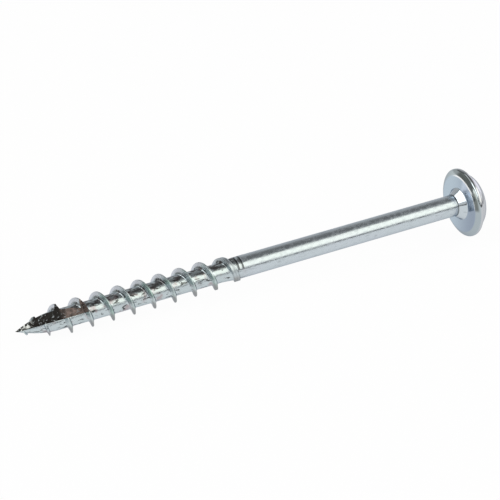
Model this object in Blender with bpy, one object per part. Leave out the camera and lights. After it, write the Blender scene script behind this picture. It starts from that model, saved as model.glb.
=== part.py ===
"""Pocket hole screw: a washer head wood screw for joining boards at an angle.

It is cold formed from one piece of wire, with a rolled thread, a slotted drill
point and a square drive recess. Lengths are in metres and Z is up. The screw
lies on the ground as it comes to rest, on the rim of its head and on a crest
of its thread, with its head at +X and its point at -X.
"""
import math

import bmesh
import bpy
from mathutils import Matrix, Vector

MM = 0.001

# Lengths along the screw: the first from the flat seat under the head to the
# point, and the others back from the point
LENGTH = 63.25 * MM
THREAD_LENGTH = 32.2 * MM
RUNOUT_LENGTH = 7.6 * MM
POINT_THREAD = 6.2 * MM
FADE_LENGTH = 3.4 * MM
CLOSE_LENGTH = 0.9 * MM
BARE_POINT = 0.3 * MM
TAPER_LENGTH = 5.3 * MM

# Shank and thread
SHANK_DIAMETER = 2.85 * MM
ROOT_DIAMETER = 2.50 * MM
CREST_DIAMETER = 4.06 * MM
PITCH = 2.8222 * MM
CREST_FLAT = 0.13 * MM
RUNOUT_FLAT = 0.70 * MM
THREAD_ANGLE = math.radians(40.0)
BLEND_OFFSET = 2.0 * MM
BLEND_LENGTH = 2.6 * MM
TAPER_BULGE = 1.8
FOOT_SHARE = 0.7
POINT_SHARE = 0.38
DIVE = 0.06 * MM

# The crest passes this angle, counted round the axis, this far from the point
CREST_ANGLE = math.radians(150.0)
CREST_FROM_POINT = 22.47 * MM

# Head. The flange is widest at the height of its rim, and its bevel runs from
# there down to the seat. The two roundings are shares of the bevel's width.
FLANGE_DIAMETER = 9.12 * MM
SEAT_DIAMETER = 7.56 * MM
BEVEL_WIDTH = (FLANGE_DIAMETER - SEAT_DIAMETER) / 2
BEVEL_ANGLE = math.radians(29.4)
RIM_LAND = 0.16 * MM
RIM_HEIGHT = BEVEL_WIDTH * math.tan(BEVEL_ANGLE) + RIM_LAND
FLANGE_BACK = 0.41 * MM
FLANGE_THICKNESS = RIM_HEIGHT + FLANGE_BACK
SEAT_EDGE_SHARE = 0.167
RIM_ROUNDING_SHARE = 0.218
CROWN_DIAMETER = 7.62 * MM
HEAD_HEIGHT = 2.89 * MM
CROWN_BULGE = 2.45
GROOVE_WIDTH = 0.20 * MM
GROOVE_DEPTH = 0.06 * MM
NECK_DIAMETER = 4.3 * MM
NECK_HEIGHT = 0.96 * MM
NECK_FILLET = 0.10 * MM

# Square drive recess
RECESS_WIDTH = 2.82 * MM
RECESS_DEPTH = 1.95 * MM
RECESS_POINT = 0.45 * MM
RECESS_TAPER = math.radians(1.75)

# Slot that makes the point cut like an auger: a ledge, and a face that a
# round cutter leaves, deepest at the point
SLOT_ANGLE = math.radians(150.0)
SLOT_LENGTH = 8.75 * MM
SLOT_CUTTER_RADIUS = 33.0 * MM
SLOT_FACE_AT_POINT = 0.02 * MM
SLOT_LEDGE = -0.12 * MM
SLOT_END_SLOPE = 0.45

FACETS = 40
ARC_STEPS = 5
RIM_STEPS = 3
CROWN_STEPS = 9
POINT_STEPS = 8
BLEND_STEPS = 4
SLOT_STEPS = 8
CLEAR = 2.0 * MM

ZINC = (0.62, 0.67, 0.70, 1.0)


def clear_scene():
    for item in list(bpy.data.objects):
        bpy.data.objects.remove(item, do_unlink=True)


def zinc_material():
    material = bpy.data.materials.new("bright_zinc")
    material.use_nodes = True
    shader = material.node_tree.nodes["Principled BSDF"]
    shader.inputs["Base Color"].default_value = ZINC
    shader.inputs["Metallic"].default_value = 1.0
    shader.inputs["Roughness"].default_value = 0.28
    return material


def smooth_step(value):
    value = min(max(value, 0.0), 1.0)
    return value * value * (3.0 - 2.0 * value)


def root_radius(depth):
    """Radius of the root of the thread, at a depth below the seat."""
    along = (depth - LENGTH + TAPER_LENGTH) / TAPER_LENGTH
    return ROOT_DIAMETER / 2 * (1.0 - min(max(along, 0.0), 1.0) ** TAPER_BULGE)


def core_radius(depth):
    """Radius of the wire: the shank, which blends into the root of the thread."""
    start = LENGTH - THREAD_LENGTH + BLEND_OFFSET
    left = 1.0 - smooth_step((depth - start) / BLEND_LENGTH)
    return root_radius(depth) + (SHANK_DIAMETER - ROOT_DIAMETER) / 2 * left


def crown_profile():
    """Domed crown, from the middle of its top down to the groove."""
    rise = HEAD_HEIGHT - FLANGE_THICKNESS
    points = []
    for step in range(CROWN_STEPS + 1):
        height = math.cos(math.pi / 2 * step / CROWN_STEPS)
        radius = CROWN_DIAMETER / 2 * math.sqrt(1.0 - height ** CROWN_BULGE)
        points.append((radius, FLANGE_THICKNESS + rise * height))
    return points


def rounded_corner(start, corner, end, steps):
    """Points of a curve that leaves start and reaches end along the corner's two sides."""
    points = []
    for step in range(steps + 1):
        part = step / steps
        weights = ((1.0 - part) ** 2, 2 * part * (1.0 - part), part ** 2)
        points.append(tuple(
            sum(weight * place[axis] for weight, place in zip(weights, (start, corner, end)))
            for axis in range(2)
        ))
    return points


def rim_profile():
    """Groove behind the washer flange, its rounded rim, and the bevel down to the seat."""
    outer = FLANGE_DIAMETER / 2
    seat = SEAT_DIAMETER / 2
    back = CROWN_DIAMETER / 2 + GROOVE_WIDTH
    points = [(CROWN_DIAMETER / 2 + GROOVE_WIDTH / 2, FLANGE_THICKNESS - GROOVE_DEPTH)]
    for step in range(ARC_STEPS):
        angle = math.pi / 2 * step / ARC_STEPS
        rise = FLANGE_BACK * math.cos(angle)
        points.append((back + (outer - back) * math.sin(angle), RIM_HEIGHT + rise))
    slope = math.tan(BEVEL_ANGLE)
    rounding = RIM_ROUNDING_SHARE * BEVEL_WIDTH
    corner = (outer, RIM_HEIGHT - RIM_LAND)
    below = (outer - rounding, corner[1] - rounding * slope)
    points += rounded_corner((outer, RIM_HEIGHT), corner, below, RIM_STEPS)
    edge = SEAT_EDGE_SHARE * BEVEL_WIDTH
    points += rounded_corner(
        (seat + edge, edge * slope), (seat, 0.0), (seat - edge, 0.0), RIM_STEPS - 1)
    return points


def neck_profile():
    """Cone that joins the flat seat to the shank."""
    base = NECK_DIAMETER / 2
    shank = SHANK_DIAMETER / 2
    slope = (base - shank) / NECK_HEIGHT
    return [
        (base + NECK_FILLET, 0.0),
        (base, -NECK_FILLET),
        (shank + NECK_FILLET * slope, NECK_FILLET - NECK_HEIGHT),
        (shank, -NECK_HEIGHT - NECK_FILLET),
    ]


def stem_profile():
    """Shank, root of the thread and tapered point."""
    points = []
    for step in range(BLEND_STEPS + 1):
        depth = LENGTH - THREAD_LENGTH + BLEND_OFFSET + BLEND_LENGTH * step / BLEND_STEPS
        points.append((core_radius(depth), -depth))
    for step in range(POINT_STEPS):
        depth = LENGTH - TAPER_LENGTH * (1.0 - step / POINT_STEPS)
        points.append((core_radius(depth), -depth))
    points.append((0.0, -LENGTH))
    return points


def facet_angle(index):
    """Angle of a facet's edge. The middle of one facet faces the ground."""
    return 2 * math.pi * (index + 0.5) / FACETS


def turned_body():
    """Wire blank with its headed end, turned round the Z axis."""
    profile = crown_profile() + rim_profile() + neck_profile() + stem_profile()
    mesh = bmesh.new()
    start = facet_angle(0)
    verts = []
    for radius, height in profile:
        verts.append(mesh.verts.new((radius * math.cos(start), radius * math.sin(start), height)))
    edges = [mesh.edges.new(pair) for pair in zip(verts, verts[1:])]
    bmesh.ops.spin(
        mesh, geom=verts + edges, cent=(0, 0, 0), axis=(0, 0, 1),
        angle=2 * math.pi, steps=FACETS, use_merge=True,
    )
    bmesh.ops.remove_doubles(mesh, verts=mesh.verts, dist=1e-7)
    return mesh


def thread_growth(depth):
    """How far the thread has risen from the shank, and how high its ridge stands."""
    from_start = (depth - LENGTH + THREAD_LENGTH) / RUNOUT_LENGTH
    rising = math.sin(math.pi / 2 * min(max(from_start, 0.0), 1.0))
    lowered = smooth_step((depth - LENGTH + POINT_THREAD) / FADE_LENGTH)
    closing = smooth_step((LENGTH - BARE_POINT - depth) / CLOSE_LENGTH)
    return rising, rising * closing * (1.0 - (1.0 - POINT_SHARE) * lowered)


def ridge_section(depth):
    """Corners of the ridge's section: radius, and place along the screw.

    Where the thread runs out, its crest is blunt and widens towards the head.
    """
    rising, grown = thread_growth(depth)
    height = (CREST_DIAMETER - ROOT_DIAMETER) / 2
    foot = FOOT_SHARE * root_radius(depth)
    crest = max(foot, root_radius(depth) + height * grown - DIVE * (1.0 - grown))
    spread = (crest - foot) * math.tan(THREAD_ANGLE / 2)
    near_point = -CREST_FLAT / 2
    near_head = CREST_FLAT / 2 + (RUNOUT_FLAT - CREST_FLAT) * (1.0 - rising)
    return (foot, near_point - spread), (crest, near_point), (crest, near_head), (foot, near_head + spread)


def thread_ridge():
    """Right hand thread ridge, its foot sunk into the wire so that they unite."""
    step_angle = 2 * math.pi / FACETS
    aligned = facet_angle(round(CREST_ANGLE / step_angle - 0.5))
    at_aligned = LENGTH - CREST_FROM_POINT + PITCH * (CREST_ANGLE - aligned) / (2 * math.pi)
    first = math.ceil((LENGTH - THREAD_LENGTH - at_aligned) / PITCH * FACETS)
    last = math.floor((LENGTH - BARE_POINT - at_aligned) / PITCH * FACETS)
    mesh = bmesh.new()
    rings = []
    for step in range(first, last + 1):
        angle = aligned - step * step_angle
        depth = at_aligned + step * PITCH / FACETS
        ring = []
        for radius, offset in ridge_section(depth):
            place = (radius * math.cos(angle), radius * math.sin(angle), offset - depth)
            ring.append(mesh.verts.new(place))
        rings.append(ring)
    for lower, upper in zip(rings, rings[1:]):
        for side in range(4):
            nearby = (side + 1) % 4
            mesh.faces.new((lower[side], lower[nearby], upper[nearby], upper[side]))
    mesh.faces.new(rings[0])
    mesh.faces.new(rings[-1])
    return mesh


def point_slot():
    """Slot along one side of the point: a ledge, a cutter's face and a sloped end."""
    across = Vector((math.cos(SLOT_ANGLE), math.sin(SLOT_ANGLE), 0.0))
    outward = Vector((-across.y, across.x, 0.0))
    reach = CREST_DIAMETER / 2 + CLEAR
    outline = []
    for step in range(SLOT_STEPS + 1):
        back = SLOT_LENGTH * (1.0 - step / SLOT_STEPS)
        face = SLOT_FACE_AT_POINT + back * back / (2 * SLOT_CUTTER_RADIUS)
        outline.append((LENGTH - back, face))
    top_of_end = outline[0][1]
    outline.append((LENGTH + CLEAR, SLOT_FACE_AT_POINT))
    outline.append((LENGTH + CLEAR, reach))
    outline.append((LENGTH - SLOT_LENGTH - (reach - top_of_end) * SLOT_END_SLOPE, reach))
    mesh = bmesh.new()
    verts = []
    for depth, out in outline:
        place = across * SLOT_LEDGE + outward * out + Vector((0.0, 0.0, -depth))
        verts.append(mesh.verts.new(place))
    face = mesh.faces.new(verts)
    grown = bmesh.ops.extrude_face_region(mesh, geom=[face])
    moved = [item for item in grown["geom"] if isinstance(item, bmesh.types.BMVert)]
    bmesh.ops.translate(mesh, verts=moved, vec=across * (reach - SLOT_LEDGE))
    return mesh


def drive_recess():
    """Tapered square socket with a shallow pointed floor, sunk into the crown."""
    floor = HEAD_HEIGHT - RECESS_DEPTH
    mouth_half = RECESS_WIDTH / 2
    narrowing = math.tan(RECESS_TAPER)
    levels = [
        (HEAD_HEIGHT + CLEAR, mouth_half + CLEAR * narrowing),
        (floor, mouth_half - RECESS_DEPTH * narrowing),
    ]
    mesh = bmesh.new()
    rings = []
    for height, half in levels:
        corners = ((half, half), (-half, half), (-half, -half), (half, -half))
        rings.append([mesh.verts.new((x, y, height)) for x, y in corners])
    tip = mesh.verts.new((0.0, 0.0, floor - RECESS_POINT))
    mesh.faces.new(rings[0])
    for side in range(4):
        nearby = (side + 1) % 4
        mesh.faces.new((rings[0][side], rings[1][side], rings[1][nearby], rings[0][nearby]))
        mesh.faces.new((rings[1][side], tip, rings[1][nearby]))
    return mesh


def add_object(name, mesh):
    bmesh.ops.recalc_face_normals(mesh, faces=mesh.faces)
    data = bpy.data.meshes.new(name)
    mesh.to_mesh(data)
    mesh.free()
    item = bpy.data.objects.new(name, data)
    bpy.context.scene.collection.objects.link(item)
    return item


def add_guide(name, mesh, screw):
    """Helper shape that is joined to the screw or cut from it, and isn't a part."""
    guide = add_object(name, mesh)
    guide.parent = screw
    guide.display_type = "WIRE"
    guide.hide_render = True
    return guide


def combine(screw, guide, operation):
    modifier = screw.modifiers.new(guide.name, "BOOLEAN")
    modifier.operation = operation
    modifier.solver = "EXACT"
    modifier.object = guide


def resting_crest():
    """Depth at which the last full crest before the point touches the ground."""
    first = LENGTH - CREST_FROM_POINT + PITCH * CREST_ANGLE / (2 * math.pi)
    return first + PITCH * math.floor((LENGTH - POINT_THREAD - first) / PITCH)


def lay_down(screw):
    """Tip the screw onto its rim and crest, and centre it over the origin."""
    drop = (FLANGE_DIAMETER - CREST_DIAMETER) / 2 * math.cos(math.pi / FACETS)
    lean = math.atan2(drop, resting_crest() + RIM_HEIGHT)
    turn = Matrix.Rotation(math.pi / 2 - lean, 4, "Y")
    screw.matrix_world = turn
    bpy.context.view_layer.update()
    shape = screw.evaluated_get(bpy.context.evaluated_depsgraph_get()).to_mesh()
    spots = [turn @ vert.co for vert in shape.vertices]
    low = [min(spot[axis] for spot in spots) for axis in range(3)]
    high = [max(spot[axis] for spot in spots) for axis in range(3)]
    screw.location = (-(low[0] + high[0]) / 2, -(low[1] + high[1]) / 2, -low[2])


def build():
    clear_scene()
    screw = add_object("screw", turned_body())
    screw.data.shade_smooth()
    screw.data.set_sharp_from_angle(angle=math.radians(35))
    screw.data.materials.append(zinc_material())
    combine(screw, add_guide("thread_ridge", thread_ridge(), screw), "UNION")
    combine(screw, add_guide("point_slot", point_slot(), screw), "DIFFERENCE")
    combine(screw, add_guide("drive_recess", drive_recess(), screw), "DIFFERENCE")
    lay_down(screw)


build()
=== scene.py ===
"""Looks of a pocket hole screw with a washer head, in bright zinc.

The screw's wire is turned, its thread rolled on, its point slotted and its
drive recess pressed in, in the sizes of the solid part. Lengths are in metres.
The screw is made standing on its axis, with its seat at height 0 and its point
down, and is then laid down as the part lies.
"""

import math

import bpy
from bpy.props import FloatProperty, FloatVectorProperty, PointerProperty
from mathutils import Euler, Matrix, Vector


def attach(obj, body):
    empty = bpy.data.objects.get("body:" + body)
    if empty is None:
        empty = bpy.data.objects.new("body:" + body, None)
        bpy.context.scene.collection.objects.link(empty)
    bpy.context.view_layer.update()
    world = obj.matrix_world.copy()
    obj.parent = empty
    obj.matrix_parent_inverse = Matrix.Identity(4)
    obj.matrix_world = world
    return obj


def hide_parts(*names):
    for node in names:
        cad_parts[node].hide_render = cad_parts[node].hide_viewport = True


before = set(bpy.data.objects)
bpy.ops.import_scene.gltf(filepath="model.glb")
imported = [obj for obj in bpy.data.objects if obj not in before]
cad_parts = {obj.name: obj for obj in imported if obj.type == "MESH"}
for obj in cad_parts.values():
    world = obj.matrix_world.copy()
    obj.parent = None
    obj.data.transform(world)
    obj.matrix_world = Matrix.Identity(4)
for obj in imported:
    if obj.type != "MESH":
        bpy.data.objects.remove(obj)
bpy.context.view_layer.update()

bl_info = {
    "name": "Pocket hole screw",
    "version": (1, 0, 0),
    "blender": (4, 5, 0),
    "location": "3D View > Sidebar > Screw",
    "description": "Makes a zinc plated pocket hole screw and the stage it lies on",
    "category": "Add Mesh",
}

MM = 0.001

# Where the solid part lies: the middle of its seat, and how far its axis leans
SEAT_PLACE = Vector((30.1742, 0.0, 4.5193)) * MM
LEAN = math.radians(2.5485392)

# The finer mesh keeps inside the flat sides of the solid, which has 40 of them
INSIDE = math.cos(math.pi / 40)
COLUMNS = 96

# Thread
RUNOUT_LENGTH = 7.6 * MM
POINT_THREAD = 6.2 * MM
FADE_LENGTH = 3.4 * MM
CLOSE_LENGTH = 0.9 * MM
BARE_POINT = 0.3 * MM
TAPER_LENGTH = 5.3 * MM
CREST_FLAT = 0.13 * MM
RUNOUT_FLAT = 1.05 * MM
THREAD_SLOPE = math.tan(math.radians(20.0))
BLEND_OFFSET = 2.0 * MM
BLEND_LENGTH = 2.6 * MM
TAPER_BULGE = 1.8
POINT_SHARE = 0.38
DIVE = 0.06 * MM
CREST_ANGLE = math.radians(150.0)
CREST_FROM_POINT = 22.47 * MM
CREST_ROUNDING = 0.05 * MM
ROOT_FILLET = 0.24 * MM
FLANK_STEPS = (-0.045, 0.02, 0.09, 0.3, 0.5, 0.68, 0.8, 0.9, 1.0, 1.12, 1.32)
ROOT_STEPS = (0.3, 0.65, 1.0)
# Shares: how far out on the flat of the crest its second row lies, and how much of its
# rise the last ridge takes to broaden
FLAT_ROW = 0.6
WIDENED_BY = 0.42
LEAST_RIDGE = 0.12 * MM
FULL_FROM_POINT = 15 * MM
# Where the spun wire meets the rolled thread: above the run-out, and at the first of
# the rings of the bare point, which are in millimetres back from its tip
SEAM_ABOVE_RUNOUT = 1.4 * MM
POINT_STEPS = (0.28, 0.2, 0.12, 0.06, 0.02)

# Head
SEAT_DIAMETER = 7.56 * MM
BEVEL_SLOPE = math.tan(math.radians(29.4))
RIM_LAND = 0.16 * MM
FLANGE_BACK = 0.41 * MM
SEAT_EDGE_SHARE = 0.167
RIM_ROUNDING_SHARE = 0.218
BEVEL_BEND = math.radians(5.5)
FLANGE_FULLNESS = 1.55
CROWN_BULGE = 2.45
GROOVE_WIDTH = 0.20 * MM
GROOVE_DEPTH = 0.06 * MM
NECK_DIAMETER = 4.3 * MM
NECK_HEIGHT = 0.96 * MM
NECK_FILLET = 0.10 * MM
BEVEL_SHARES = (0.8, 0.6, 0.4, 0.2)
NECK_SHARES = (0.35, 0.65)
SHANK_SHARES = (0.02, 0.5, 0.98, 1.0)
# Rings on the flat seat: in from its rounded edge, in from its diameter, out from the neck
SEAT_RINGS = (0.05 * MM, 0.7 * MM, 0.5 * MM)

# Drive recess and point slot
RECESS_POINT = 0.45 * MM
RECESS_TAPER = math.tan(math.radians(1.75))
SLOT_ANGLE = math.radians(150.0)
SLOT_CUTTER_RADIUS = 33.0 * MM
SLOT_FACE_AT_POINT = 0.02 * MM
SLOT_LEDGE = -0.12 * MM
SLOT_END_SLOPE = 0.45
CLEAR = 2.0 * MM

# Mesh: how near two places merge, and the sharpest bend that is shaded smooth
MERGE = 1e-6
MERGE_SPUN = 2e-6
MERGE_CUT = 2e-7
SLIVER = 1e-8
SMOOTH_ANGLE = math.radians(34.0)

# Steps of the curves of the head and the slot
CROWN_STEPS = 24
GROOVE_STEPS = 6
FLANGE_STEPS = 13
RIM_STEPS = 8
SEAT_EDGE_STEPS = 5
FILLET_STEPS = 5
SLOT_STEPS = 24

# The finish is measured in millimetres. A side of the standing screw is an angle round
# its axis in degrees, then where the mask that faces that way is 0 and where it is 1.
# SEAT_SHADED_SIDE is counted across the head, and the others across the unrolled surface,
# whose radius is the same all along the screw.
UNROLLED_RADIUS = 1.4
# Painted shade: the seat darkens from blue to slate across this side
SEAT_SHADED_SIDE = (275.0, -2.4, 3.4)
SEAT_NEAR = (225.0, 1.10, 1.30)
# Painted highlight: the side of the seat's edge that gets a light line
SEAT_HIGHLIT_SIDE = (208.0, 0.75, 1.2)
BEVEL_LOW = (315.0, 0.3, 1.1)
# Painted shade: the side of the bevel that gets a dark band
BEVEL_SHADED_SIDE = (246.0, 1.31, 1.365)
# Painted shade: the side of the rim that gets a dark line
RIM_SHADED_SIDE = (189.0, 1.255, 1.33)
RIDGE_GREEN = (250.0, 0.1, 1.0)
# Painted shade: the underside of the ridge
RIDGE_SHADED_SIDE = (325.0, 0.75, 1.22)
RUNOUT_HATCHED = (163.0, 0.35, 1.05)
# Painted shade: the side of the root that gets dark mottled patches
ROOT_SHADED_SIDE = (182.0, 0.95, 1.25)
SHANK_MARKED = (202.0, 0.75, 1.1)

# Bands by depth below the seat, or by radius: where a mask is 0 and where it is 1
HEAD_DEPTH = (0.12, -0.02)
CROWN_DEPTH = (-0.40, -0.60)
BEVEL_DEPTHS = ((-0.01, -0.06), (-0.60, -0.40))
SEAT_DEPTHS = ((-0.07, -0.02), (0.06, 0.02))
SEAT_EDGE_DEPTH = (-0.16, -0.08)
BEVEL_SHADE_DEPTHS = ((-0.01, -0.05), (-0.55, -0.42))
BEVEL_SHADE_RADIUS = (4.48, 4.16)
RIM_SHADE_DEPTH = (-0.50, -0.46)
RIM_SHADE_RADIUS = (4.35, 4.41)
SMOOTH_DEPTH = (0.98, 0.90)
# Painted shade: the depths of the neck's crease
CREASE_DEPTHS = ((0.86, 0.95), (1.08, 0.99))
# Radius from the edge of the seat
SEAT_EDGE_RADII = ((-0.13, -0.05), (0.12, 0.05))
# Depth from where the thread runs out
THREAD_DEPTH = (0.6, 3.2)
RUNOUT_TINT_DEPTH = (5.5, 3.0)
HATCH_DEPTHS = ((-0.4, 0.2), (4.2, 2.8))
MARKED_DEPTHS = ((1.35, 1.5), (3.6, 3.3))
# Radius from the root of the thread
RIDGE_RADIUS = (0.16, 0.36)
HATCH_RADIUS = (0.20, 0.26)
MARKED_RADIUS = (0.26, 0.18)
# Painted shade on the ridge's underside grows darker towards the crest
RIDGE_SHADE_RADIUS = (0.03, 0.42)
# Depth from the end of the slot, and from the point
SLOT_BROWN_DEPTH = (3.0, 2.0)
SLOT_TIP_DEPTH = (-2.6, -1.6)

# Ripples: the hatch of the run-out, and the marks that the dies left beside the thread
HATCH_PITCH = 0.36
HATCH_LINE = (-0.2, 0.6)
HATCH_LEAST = 0.2
MARK_PITCH = 0.62
MARK_START = 2.13
MARK_LINE = (-0.1, 0.6)

# Films, stains and dirt over the plating, and painted highlights and shade: tint, and how strongly it covers
LAVENDER_STRENGTH = 0.3
ROOT_FILM = ((0.50, 0.59, 0.58), 0.35)
CROWN_FILM = ((0.53, 0.54, 0.565), 0.9)
BEVEL_TINT = (0.47, 0.53, 0.54)
BEVEL_LOW_TINT = (0.39, 0.445, 0.475)
# Painted reflection: paler blue on the seat beside the neck, lightening a second reflection
SEAT_NEAR_REFLECTION = ((0.64, 0.72, 0.84), 0.85)
SEAT_STRENGTH = 0.9
RIDGE_TINT = (0.72, 0.75, 0.80)
RUNOUT_TINT = (0.50, 0.56, 0.58)
RIDGE_STRENGTH = 0.85
GREEN_LEAST = 0.45
# Painted shade: grey on the underside of the ridge
RIDGE_UNDERSIDE_SHADE = ((0.335, 0.338, 0.33), 0.9)
STAIN_STRENGTH = 0.75
DASH_STRENGTH = 0.9
# Painted shade: strength of the dark patches along one side of the root
ROOT_SHADE_STRENGTH = 0.8
SPECK_STRENGTH = 0.22
HATCH_DIRT = ((0.10, 0.11, 0.12), 0.85)
# Painted highlight: near-white line along one side of the seat's edge
SEAT_EDGE_HIGHLIGHT = ((0.97, 0.98, 0.98), 1.0)
# Painted shade: dark band on the bevel's upper rounding, dimming its reflection of the side lamp
BEVEL_SHADE = ((0.10, 0.11, 0.10), 0.8)
# Painted shade: dark line along the top of the flange's rim
RIM_SHADE = ((0.07, 0.075, 0.078), 0.8)
MARK_DIRT = ((0.05, 0.055, 0.055), 0.85)
# Painted shade: dark ring in the crease where the neck meets the shank
CREASE_SHADE = ((0.05, 0.06, 0.06), 0.8)
EDGE_TINT = (0.60, 0.62, 0.66)
SLOT_PATCH_STRENGTH = 0.8
SLOT_SPECK_STRENGTH = 0.6
SLOT_BRIGHT = (0.75, 0.78, 0.78)

# Spots: stretch of the place, how many to the millimetre, how much they cover, and how
# soft their edges are
EVEN = (1.0, 1.0, 1.0)
STAIN_SPOTS = (EVEN, 0.75, 0.24, 0.14)
DASH_SPOTS = ((1.0, 1.0, 0.42), 2.3, 0.27, 0.06)
SHANK_SPECKS = ((1.0, 1.0, 0.3), 3.1, 0.20, 0.12)
SLOT_PATCHES = ((1.0, 1.0, 0.6), 1.9, 0.5, 0.2)
SLOT_SPECKS = (EVEN, 3.0, 0.24, 0.10)
SLOT_MOTTLE = (EVEN, 2.4, 0.42, 0.08)
SPOT_THRESHOLD = 0.72
SPOT_REACH = 0.42
SPOT_NOISE = (3.0, 0.6, 0.4)

# Clouds: stretch of the place, waves to the millimetre, detail, roughness, distortion.
# LIMITS are where the mask made of one is 0 and where it is 1.
LAVENDER_CLOUD = (EVEN, 0.42, 3.0, 0.5, 0.0)
LAVENDER_LIMITS = (0.40, 0.66)
GREEN_CLOUD = ((1.0, 1.0, 0.8), 0.9, 3.0, 0.5, 0.0)
GREEN_LIMITS = (0.36, 0.60)
ROOT_SHADE_CLOUD = ((1.0, 1.0, 0.6), 1.5, 3.0, 0.65, 0.0)
ROOT_SHADE_LIMITS = (0.46, 0.56)
GRAIN_CLOUD = ((1.0, 1.0, 0.7), 2.6, 2.0, 0.6, 0.0)
GRAIN_LIMITS = (0.40, 0.62)
LINES_CLOUD = ((2.6, 2.6, 0.8), 1.0, 3.0, 0.65, 0.0)
ROLLED_CLOUD = ((1.5, 1.5, 0.9), 1.15, 3.0, 0.6, 0.6)
CUTTER_CLOUD = ((0.9, 0.9, 2.4), 1.1, 3.0, 0.6, 0.3)

# Roughness of each area, and heights of the relief in millimetres
GRAIN = (-0.05, 0.11)
HEAD_ROUGHNESS = 0.11
SEAT_NEAR_ROUGHNESS = 0.30
ROOT_ROUGHNESS = 0.24
RIDGE_ROUGHNESS = 0.36
SLOT_ROUGHNESS = 0.42
LINE_HEIGHT = 0.0038
ROLLED_HEIGHT = 0.034
MARK_HEIGHT = 0.015
SLOT_RELIEF = 0.03

# Studio walls, from the horizon up: height of the direction, and brightness
BACK_WALL = [(0.0, 0.92), (0.12, 0.86), (0.30, 0.68), (0.57, 0.54), (0.72, 0.31), (0.86, 0.20), (1.0, 0.20)]
FRONT_WALL = [(0.0, 0.08), (0.09, 0.10), (0.16, 0.78), (0.78, 0.80), (0.86, 0.45), (0.91, 0.20), (1.0, 0.19)]
WALL_JOIN = (0.15, -0.15)
# Cards: middle, half width, half height, soft edge, colour
STUDIO_CARDS = [
    ((-0.9, 0.05, 0.30), 0.75, 0.36, 0.06, (0.2, 0.2, 0.2)),
    ((-0.470, 0.860, 0.180), 0.60, 0.20, 0.08, (0.60, 0.60, 0.60)),
    ((-0.766, 0.643, 0.180), 0.30, 0.20, 0.12, (0.20, 0.20, 0.19)),
    ((-0.996, -0.043, 0.087), 0.165, 0.16, 0.03, (1.7, 1.7, 1.6)),
    ((0.820, 0.190, 0.500), 0.45, 0.27, 0.10, (1.5, 1.47, 1.56)),
    ((0.726, -0.472, 0.500), 0.16, 0.25, 0.05, (1.5, 1.5, 1.5)),
    ((0.976, -0.207, 0.070), 0.32, 0.10, 0.05, (0.6, 0.6, 0.6)),
]

# Lamps, in metres: direction from the screw, direction of the width, width, height, colour
LAMP_DISTANCE = 0.7
SOFTBOX = ((0.433, -0.67, 0.61), (1.0, 0.0, 0.0), 0.62, 0.56, (1.0, 0.97, 0.80))
SIDE_SOFTBOX = ((-0.725, 0.01, 0.70), (-0.22, -1.035, -0.403), 1.10, 0.36, (1.0, 1.0, 1.0))
FLOOR_SIZE = 4.0
FLOOR_ROUGHNESS = 0.9
FLOOR_SEEN_PLAIN = 0.96

# Camera at the photo's viewing angle
CAMERA_PLACE = (-0.1355397, -0.2452618, 0.1415832)
CAMERA_TURN = (math.radians(90.0 - 26.0042688), 0.0, math.radians(-28.7666434))
CAMERA_LENS = 179.558
CAMERA_SENSOR = 36.0
CAMERA_NEAR = 0.01
CAMERA_FAR = 20.0


class ScrewSizes(bpy.types.PropertyGroup):
    """Sizes of the screw."""
    length: FloatProperty(
        name="Length", description="From the seat under the head to the point",
        default=63.25 * MM, min=20 * MM, unit="LENGTH", precision=5)
    thread_length: FloatProperty(
        name="Thread length", description="From the point to where the thread runs out",
        default=32.2 * MM, min=10 * MM, unit="LENGTH", precision=5)
    pitch: FloatProperty(
        name="Pitch", description="Distance from one turn of the thread to the next",
        default=2.8222 * MM, min=1 * MM, unit="LENGTH", precision=5)
    shank: FloatProperty(
        name="Shank diameter", description="Plain wire between the head and the thread",
        default=2.85 * MM, min=1 * MM, unit="LENGTH", precision=5)
    root: FloatProperty(
        name="Root diameter", description="Wire between the turns of the thread",
        default=2.50 * MM, min=1 * MM, unit="LENGTH", precision=5)
    crest: FloatProperty(
        name="Crest diameter", description="Outside of the thread",
        default=4.06 * MM, min=1 * MM, unit="LENGTH", precision=5)
    flange: FloatProperty(
        name="Flange diameter", description="Outside of the washer flange",
        default=9.12 * MM, min=4 * MM, unit="LENGTH", precision=5)
    crown: FloatProperty(
        name="Crown diameter", description="Domed crown behind the flange",
        default=7.62 * MM, min=3 * MM, unit="LENGTH", precision=5)
    head_height: FloatProperty(
        name="Head height", description="From the seat to the top of the crown",
        default=2.89 * MM, min=1 * MM, unit="LENGTH", precision=5)
    recess_width: FloatProperty(
        name="Recess width", description="Across the flats of the square drive",
        default=2.82 * MM, min=1 * MM, unit="LENGTH", precision=5)
    recess_depth: FloatProperty(
        name="Recess depth", description="From the top of the crown to the recess floor",
        default=1.95 * MM, min=0.5 * MM, unit="LENGTH", precision=5)
    slot_length: FloatProperty(
        name="Slot length", description="Slot that makes the point cut like an auger",
        default=8.75 * MM, min=1 * MM, unit="LENGTH", precision=5)


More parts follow.
